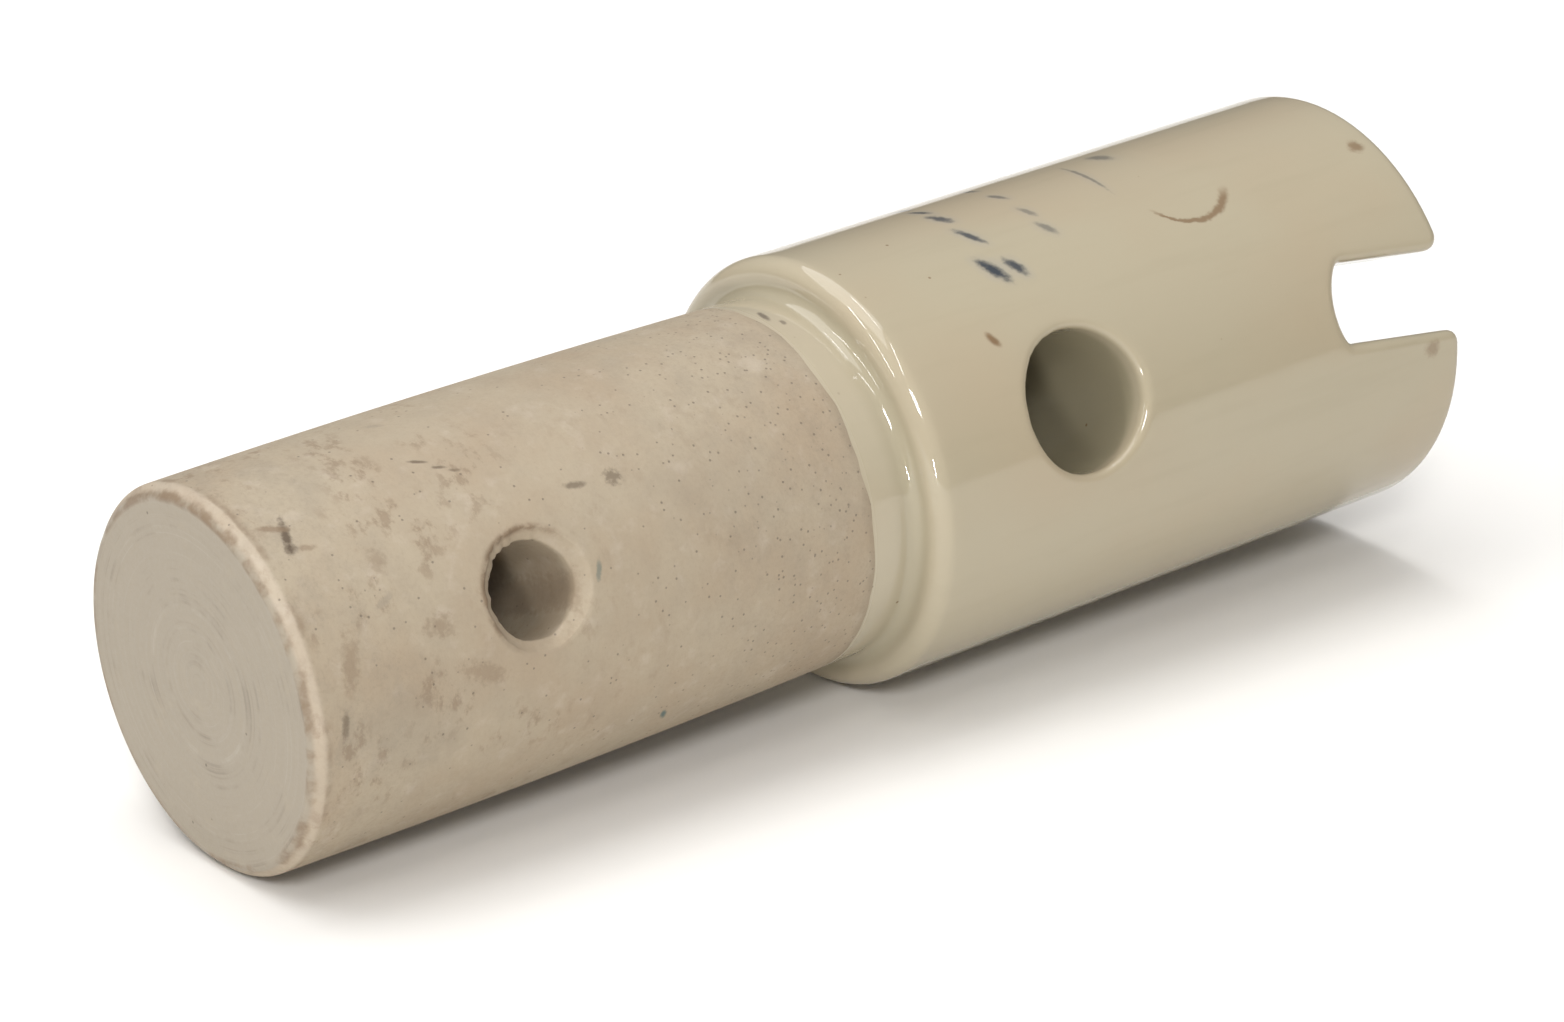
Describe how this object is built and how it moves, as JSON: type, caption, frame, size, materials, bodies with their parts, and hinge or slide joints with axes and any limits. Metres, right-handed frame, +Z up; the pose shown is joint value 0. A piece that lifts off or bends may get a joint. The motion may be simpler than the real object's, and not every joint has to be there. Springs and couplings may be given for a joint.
{
  "type": "porcelain insulator",
  "caption": "Stepped porcelain insulator: a bare spigot with a cross hole, and a glazed barrel with a cross hole, an end slot and a socket.",
  "frame": {"origin": "centre of the part's box at its lowest line: the part lies on its side with the barrel's lowest line at z = 0", "axes": "+X along the turned axis, from the bare spigot to the slotted end; +Z up; the cross holes look along -Y rolled 22.3 degrees up towards +Z"},
  "size_m": [0.128, 0.04, 0.04],
  "materials": {
    "bare_porcelain": "bare fired porcelain, dry and matt, handling stains",
    "clear_glaze": "glossy cream glaze"
  },
  "bodies": {
    "root": {"porcelain_body": "bare_porcelain", "glaze_coat": "clear_glaze"}
  },
  "joints": []
}
